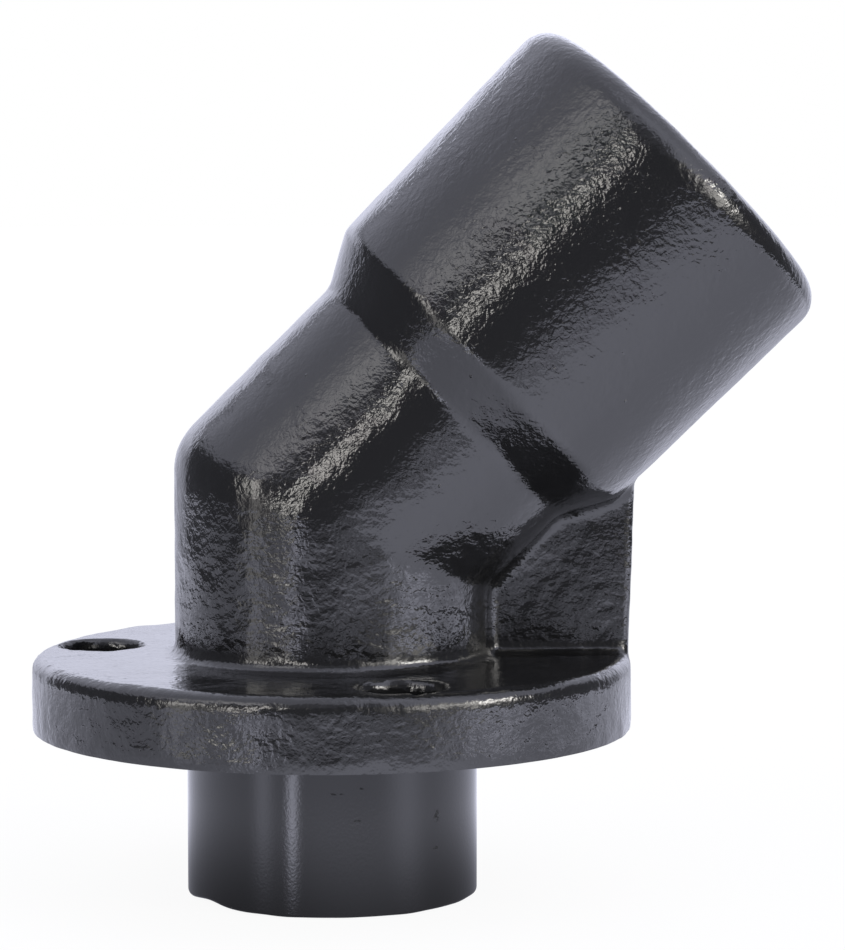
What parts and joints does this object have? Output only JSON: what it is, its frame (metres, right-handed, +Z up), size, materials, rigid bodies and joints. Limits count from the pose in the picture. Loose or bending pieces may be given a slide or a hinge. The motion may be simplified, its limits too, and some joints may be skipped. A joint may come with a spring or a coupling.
{
  "type": "flanged pipe elbow",
  "caption": "Cast 45 degree pipe elbow with a bolt-on flange, a smooth spigot below it, a thick round socket and a gusset rib in the plane of the bend.",
  "frame": {"origin": "centre of the flange's underside, on the axis of the neck and spigot", "axes": "+Z up along the neck, away from the flange's mounting face; the bend leans towards +X, so XZ is the plane of the rib"},
  "size_m": [0.1292, 0.0996, 0.1425],
  "materials": {
    "gloss_black_casting": "gloss black powder coat over a sand-cast surface",
    "satin_black_tube": "smooth satin black coat over a turned steel tube",
    "seal_rubber": "matte black nitrile rubber"
  },
  "bodies": {
    "root": {"elbow_casting": "gloss_black_casting", "spigot_tube": "satin_black_tube", "flange_seal_ring": "seal_rubber"}
  },
  "joints": []
}
